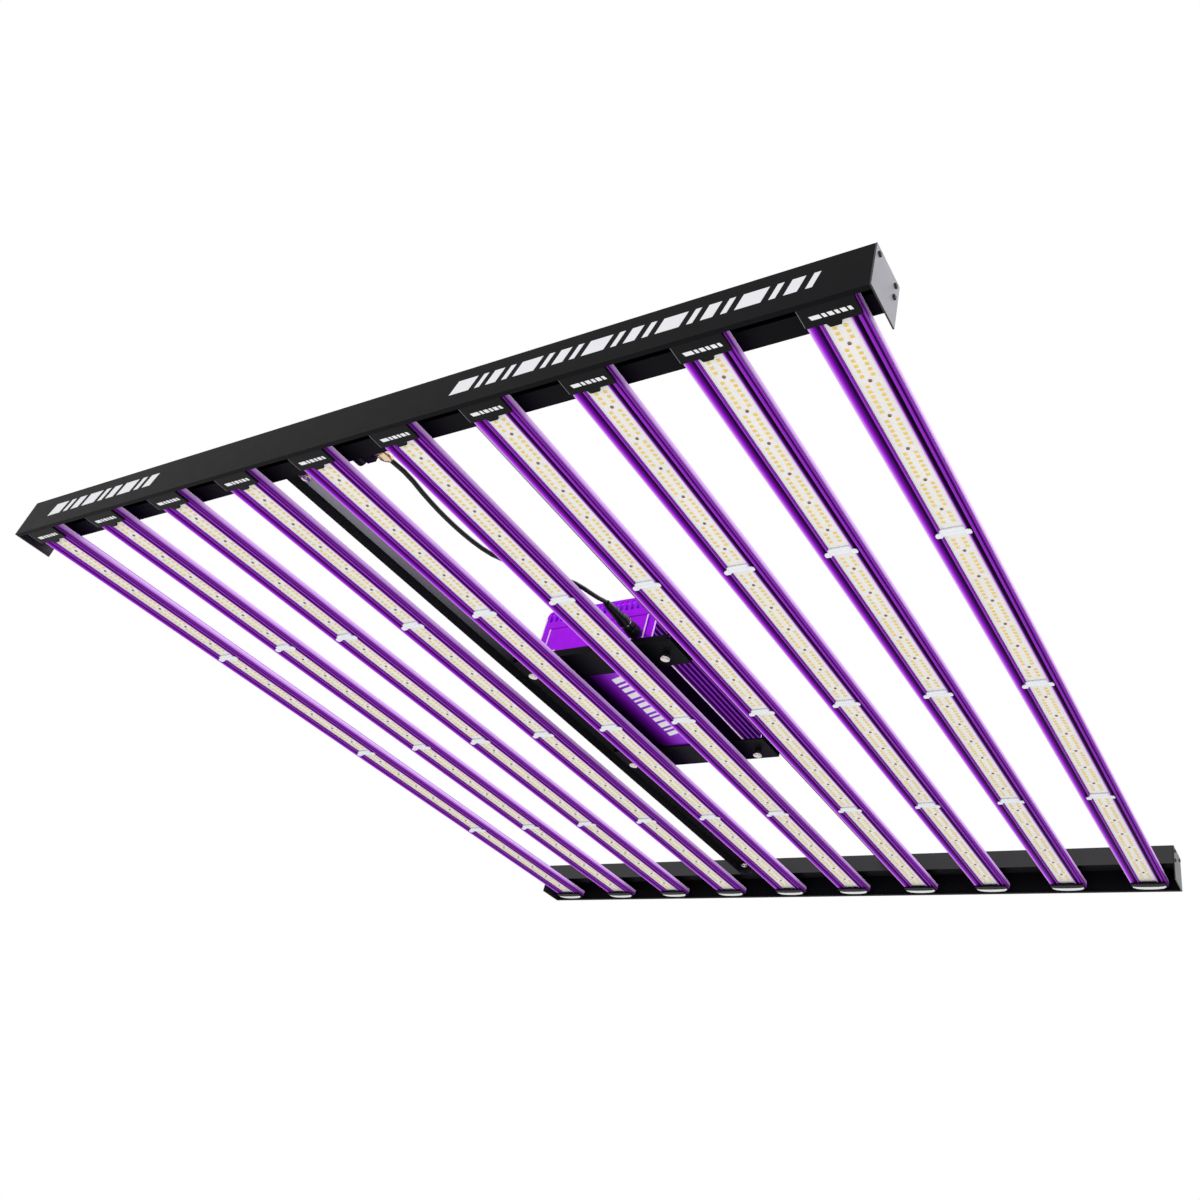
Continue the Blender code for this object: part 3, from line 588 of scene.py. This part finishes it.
def make_far_cap(number, x):
    """A plain cap with a rounded end, a pale crescent below it as a painted highlight of the rounded rim,
    and a wall behind.
    """
    half_width, round_y, depth, back_y = 0.0245, 0.5690, 0.0078, 0.5562
    shares = [-1 + step / 6 for step in range(13)]
    curve = [
        (half_width * share, round_y + depth * math.sqrt(max(0, 1 - abs(share) ** 2.4))) for share in shares
    ]
    bm = bmesh.new()
    plan = [*curve, (half_width, back_y), (-half_width, back_y)]
    add_prism(bm, [(x + a, b) for a, b in plan], "Z", 0.0014, 0.0039)
    cap = piece("far_end_cap_" + number, bm, "cap")
    round_edges(cap, 0.0007, 3)

    # The crescent is a painted highlight, in the white of the marks.
    bm = bmesh.new()
    outer = [(x + 0.94 * a, b - 0.0018) for a, b in curve]
    inner = [(x + 0.94 * a, 0.5640 + 0.35 * (b - round_y)) for a, b in curve]
    add_prism(bm, [*outer, *reversed(inner)], "Z", 0.0011, 0.0016)
    piece("far_end_cap_rim_" + number, bm, "mark")

    bm = bmesh.new()
    add_block(bm, (x - 0.0240, 0.5733, 0.0036), (x + 0.0240, 0.5765, 0.0131))
    piece("far_end_cap_wall_" + number, bm, "cap")


def make_caps():
    for number, x in BARS:
        make_near_cap(number, x)
        make_far_cap(number, x)


# End channels

def make_channels():
    for end in ("near", "far"):
        data = dress("end_channel_" + end, "powder", "plate")
        for face in data.polygons:
            if end == "far" and face.normal.y < -0.9 and face.center.y < INNER_WALL_Y + 0.0005:
                face.material_index = 1
        for side in ("left", "right"):
            make_end_plate(end, side)


def make_end_plate(end, side):
    """An end plate's finish and its three screws: two above, and one below at the inner end."""
    screw = (
        (0.0027, 0), (0.0025, 0.0010), (0.0018, 0.0014), (0.0010, 0.0014), (0.0008, 0.0006), (0, 0.0006),
    )
    node = f"channel_end_plate_{end}_{side}"
    dress(node, "plate")
    low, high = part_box(node)
    outward = 1 if side == "right" else -1
    x = high[0] if side == "right" else low[0]
    inner = high[1] if end == "near" else low[1]
    outer = low[1] if end == "near" else high[1]
    step = 1 if outer > inner else -1
    outer_y, inner_y = outer - step * 0.007, inner + step * 0.007
    bm = bmesh.new()
    for y, z in ((outer_y, 0.0435), (inner_y, 0.0435), (inner_y, 0.0300)):
        add_turned(bm, screw, (x, y, z), (outward, 0, 0), sides=14)
    piece(node + "_screws", bm, "collar", smooth=30)


def make_channel_marks():
    """Plain stripes on the near channel's outer wall, and ticks round the dimmer knob."""
    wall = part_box("end_channel_near")[0][1]
    bm = bmesh.new()
    for widths, gap, start in (
        ((0.024, 0.008, 0.014) * 3, 0.0075, -0.512),
        ((0.024, 0.006, 0.012, 0.006) * 5, 0.0072, 0.136),
    ):
        slanted_stripes(
            bm, widths, gap, start, height=0.0170,
            origin=(0, wall, 0.0175), along=(1, 0, 0), across=(0, 0, 1), lift=(0, -MARK_THICKNESS, 0),
        )
    piece("channel_marks", bm, "mark")

    knob_x, _, knob_z = centre_of(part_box("dimmer_knob"))
    bm = bmesh.new()
    for tick in range(9):
        angle = math.radians(-150 + tick * 37.5)
        out = Vector((math.sin(angle), 0, math.cos(angle)))
        along = Vector((math.cos(angle), 0, -math.sin(angle)))
        foot = Vector((knob_x, -INNER_WALL_Y, knob_z)) + out * 0.0090
        if foot.z > 0.0485:
            continue
        corners = ((0, -0.0003), (0.0015, -0.0003), (0.0015, 0.0003), (0, 0.0003))
        near = [foot + out * a + along * b for a, b in corners]
        add_solid(bm, near, [point + Vector((0, MARK_THICKNESS, 0)) for point in near])
    piece("dimmer_ticks", bm, "mark")


# Beams and brackets

def make_beams():
    for side in ("left", "right"):
        data = dress("cross_beam_" + side, "beam", "beam_web")
        for face in data.polygons:
            # The web's underside takes the painted reflection.
            if face.normal.z < -0.9 and face.center.z > BEAM_WEB_Z:
                face.material_index = 1
    for end in ("near", "far"):
        node = "driver_bracket_" + end
        dress(node, "powder")
        round_edges(NODES[node], 0.0003, 1)


# Driver

def dress_driver():
    data = dress("driver_housing", "driver", "driver_base", "flank")
    for face in data.polygons:
        # The lower face takes the painted reflection.
        if face.normal.z < -0.9 and face.center.z < DRIVER_BASE_Z:
            face.material_index = 1
        # The flank ribs take the painted shade.
        elif face.center.z < DRIVER_FLANK_TOP_Z and abs(face.center.x) > DRIVER_FLANK_X:
            face.material_index = 2
    for end in ("front", "rear"):
        dress("driver_end_plate_" + end, "driver")
    dress("driver_circuit_board", "circuit")


def make_driver_edge_highlights():
    """Pale strips as painted highlights along the edges of the driver's end panels, housing and lower face,
    and a dark seam across each panel's top.
    """
    bottom_z, panel_top_z, housing_top_z = 0.0300, 0.0716, 0.0900
    for label, side in (("front", -1), ("rear", 1)):
        panel_low, panel_high = sorted((side * 0.1464, side * 0.1468))
        housing_low, housing_high = sorted((side * 0.1450, side * 0.1454))
        bm = bmesh.new()
        for x in (-0.0778, 0.0760):
            add_block(bm, (x, panel_low, bottom_z), (x + 0.0018, panel_high, panel_top_z))
        for x in (-0.0906, 0.0890):
            add_block(bm, (x, housing_low, bottom_z), (x + 0.0016, housing_high, housing_top_z))
        piece("driver_panel_edge_highlights_" + label, bm, "edge")
        bm = bmesh.new()
        add_block(bm, (-0.0770, panel_low, 0.0714), (0.0770, panel_high, 0.0724))
        piece("driver_panel_seam_" + label, bm, "flank")
    bm = bmesh.new()
    for x in (-0.0905, 0.0905):
        add_block(bm, (x - 0.0008, -0.1430, 0.0267), (x + 0.0008, 0.1430, 0.0281))
    edges = piece("driver_lower_edge_highlights", bm, "edge")
    round_edges(edges, 0.0003, 1)


def make_driver():
    dress_driver()
    make_driver_edge_highlights()
    bm = bmesh.new()
    slanted_stripes(
        bm, (0.011, 0.004, 0.009) * 4, gap=0.0050, start=-0.0800, height=0.0200, slant=-0.3,
        origin=(-0.010, 0, 0.0267), along=(0, 1, 0), across=(1, 0, 0), lift=(0, 0, -MARK_THICKNESS),
    )
    piece("driver_mark", bm, "mark")
    screw = (
        (0.0030, 0), (0.0028, 0.0012), (0.0020, 0.0018), (0.0010, 0.0018), (0.0009, 0.0008), (0, 0.0008),
    )
    bm = bmesh.new()
    for x, side in itertools.product((-0.060, 0.0, 0.060), (-1, 1)):
        add_turned(bm, screw, (x, side * 0.1465, 0.0345), (0, side, 0), sides=14)
    piece("driver_plate_screws", bm, "steel", smooth=30)


# Thumbscrews

def make_thumbscrews():
    """Each has a knurled head below, a brass neck and a black knurled collar, with heights from its seat."""
    head = (
        (0, 0.0096), (0.0010, 0.0096), (0.0012, 0.0093), (0.0044, 0.0093), (0.0048, 0.0096),
        (0.0057, 0.0096), (0.0063, 0.0090, True), (0.0063, 0.0071, True), (0.0057, 0.0065),
        (0.0030, 0.0062),
    )
    neck = ((0.0030, 0.0064), (0.0032, 0.0062), (0.0032, 0.0052), (0.0030, 0.0050))
    collar = (
        (0, 0.0052), (0.0038, 0.0052), (0.0044, 0.0047, True), (0.0044, 0.0012, True), (0.0038, 0.0006),
        (0.0038, 0.0003), (0.0025, 0.0003), (0.0025, -0.0070), (0, -0.0070),
    )
    for kind, end, side in itertools.product(("driver", "beam"), ("near", "far"), ("left", "right")):
        node = f"{kind}_thumbscrew_{end}_{side}"
        low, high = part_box(node)
        seat = ((low[0] + high[0]) / 2, (low[1] + high[1]) / 2, low[2] + 0.0096)
        bm = bmesh.new()
        add_turned(bm, head, seat, (0, 0, -1), sides=40, ribs=0.00025)
        add_turned(bm, neck, seat, (0, 0, -1), sides=24, material=1)
        add_turned(bm, collar, seat, (0, 0, -1), sides=32, material=2, ribs=0.0003)
        made = piece(node + "_look", bm, "steel", "brass", "collar", body=node, smooth=40)
        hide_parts(node)


# Fittings on the near channel

def make_gland():
    """A hexagon, a ribbed clamping nut with a rounded front, and the thread through the wall."""
    hexagon = (
        (0, 0.0003), (0.0082, 0.0003), (0.0083, 0.0008), (0.0083, 0.0052), (0.0080, 0.0058),
        (0.0062, 0.0058),
    )
    nut = (
        (0, 0.0058), (0.0066, 0.0060), (0.0076, 0.0068, True), (0.0076, 0.0140, True), (0.0070, 0.0160),
        (0.0056, 0.0190), (0.0048, 0.0204), (0.0045, 0.0210), (0.0036, 0.0210), (0, 0.0208),
    )
    thread = ((0, -0.0085), (0.0052, -0.0085), (0.0052, 0.0004), (0, 0.0004))
    x, _, z = centre_of(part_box("cable_gland"))
    seat = (x, -INNER_WALL_Y, z)
    bm = bmesh.new()
    add_turned(bm, hexagon, seat, (0, 1, 0), sides=6)
    add_turned(bm, nut, seat, (0, 1, 0), sides=36, ribs=0.0005)
    add_turned(bm, thread, seat, (0, 1, 0), sides=24)
    made = piece("cable_gland_look", bm, "brass", smooth=35)
    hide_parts("cable_gland")


def make_knob():
    """A ribbed knob on its shaft, with a white pointer on its front."""
    grip = (
        (0, -0.0075), (0.0030, -0.0075), (0.0030, 0.0010), (0.0066, 0.0010), (0.0068, 0.0014, True),
        (0.0066, 0.0122, True), (0.0060, 0.0134), (0.0054, 0.0138), (0, 0.0140),
    )
    x, _, z = centre_of(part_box("dimmer_knob"))
    bm = bmesh.new()
    add_turned(bm, grip, (x, -INNER_WALL_Y, z), (0, 1, 0), sides=40, ribs=0.0004)
    add_block(bm, (x - 0.0004, -0.5213, z + 0.0006), (x + 0.0004, -0.5208, z + 0.0054), 1)
    made = piece("dimmer_knob_look", bm, "plastic", "mark", body="dimmer_knob", smooth=35)
    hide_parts("dimmer_knob")


def make_fittings():
    make_gland()
    make_knob()
    dress("control_socket", "plastic")
    round_edges(NODES["control_socket"], 0.0005, 2)


# Lead and plug

def make_lead():
    for node in ("driver_lead", "wiring_harness"):
        dress(node, "rubber")
        NODES[node].data.shade_smooth()
        NODES[node].data.set_sharp_from_angle(angle=math.radians(50))
    make_plug()
    dress("plug_locking_ring", "plastic")
    round_edges(NODES["plug_locking_ring"], 0.0003, 1)


def make_plug():
    """The plug with its grips and the folds of its strain relief, from its root at the driver outwards."""
    body = (
        (0, 0), (0.0068, 0), (0.0068, 0.0153), (0.0078, 0.0158), (0.0082, 0.0163, True),
        (0.0082, 0.0240, True), (0.0074, 0.0246), (0.0074, 0.0256), (0.0082, 0.0262, True),
        (0.0082, 0.0330, True), (0.0070, 0.0348), (0.0066, 0.0400), (0.0060, 0.0404), (0.0060, 0.0420),
        (0.0064, 0.0424), (0.0062, 0.0460), (0.0056, 0.0464), (0.0056, 0.0480), (0.0060, 0.0484),
        (0.0058, 0.0520), (0.0051, 0.0524), (0.0051, 0.0540), (0.0055, 0.0544), (0.0050, 0.0620),
        (0.0044, 0.0680), (0, 0.0680),
    )
    band = ((0.0073, 0.0246), (0.0080, 0.0248), (0.0080, 0.0254), (0.0073, 0.0256))
    low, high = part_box("supply_plug")
    root = ((low[0] + high[0]) / 2, high[1], (low[2] + high[2]) / 2)
    bm = bmesh.new()
    add_turned(bm, body, root, (0, -1, 0), sides=36, ribs=0.0004)
    made = piece("supply_plug_look", bm, "plastic", smooth=35)
    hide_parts("supply_plug")
    bm = bmesh.new()
    add_turned(bm, band, root, (0, -1, 0), sides=36)
    piece("plug_band", bm, "steel", smooth=35)


# Camera, light and floor

def make_camera():
    """The pinhole camera fitted to the photo's straight edges."""
    data = bpy.data.cameras.new("Camera")
    data.sensor_width = 36
    data.lens = 33.186
    data.shift_x = -0.11284
    data.shift_y = -0.05141
    data.clip_end = 30
    camera = bpy.data.objects.new("Camera", data)
    bpy.context.scene.collection.objects.link(camera)
    right = Vector((0.869238, 0.463601, 0.171756))
    forward = Vector((-0.466410, 0.653736, 0.595895))
    up = right.cross(forward)
    axes = Matrix((right, up, -forward)).transposed()
    camera.matrix_world = Matrix.Translation((0.829756, -1.054334, -0.657541)) @ axes.to_4x4()
    bpy.context.scene.camera = camera


def add_light(name, location, target, size, power, colour=(1, 1, 1)):
    data = bpy.data.lights.new(name, "AREA")
    data.shape = "RECTANGLE"
    data.size, data.size_y = size
    data.energy = power
    data.color = colour
    light = bpy.data.objects.new(name, data)
    bpy.context.scene.collection.objects.link(light)
    light.location = location
    aim = Vector(target) - Vector(location)
    light.rotation_euler = aim.to_track_quat("-Z", "Y").to_euler()


def make_stage():
    """A pale floor well below the fixture, a white world, a low fill and a light for the end plates."""
    bm = bmesh.new()
    add_block(bm, (-60, -60, -1.62), (60, 60, -1.60))
    floor = new_object("studio_floor", bm, "floor")

    world = bpy.data.worlds.new("Studio")
    world.use_nodes = True
    world.node_tree.nodes["Background"].inputs["Color"].default_value = (1, 1, 1, 1)
    world.node_tree.nodes["Background"].inputs["Strength"].default_value = 1.0
    bpy.context.scene.world = world
    bpy.context.scene.view_settings.view_transform = "Standard"
    add_light("low_fill", (0.3, -0.6, -1.50), (0, 0, 0), (2.6, 2.6), 12)
    add_light("plate_light", (1.22, 0.67, 1.73), (0.564, -0.558, 0.025), (1.6, 1.6), 15, (0.90, 0.88, 1.0))


make_camera()
make_stage()
dress_bars()
make_bar_lights()
make_clips()
make_caps()
make_channels()
make_channel_marks()
make_beams()
make_driver()
make_thumbscrews()
make_fittings()
make_lead()
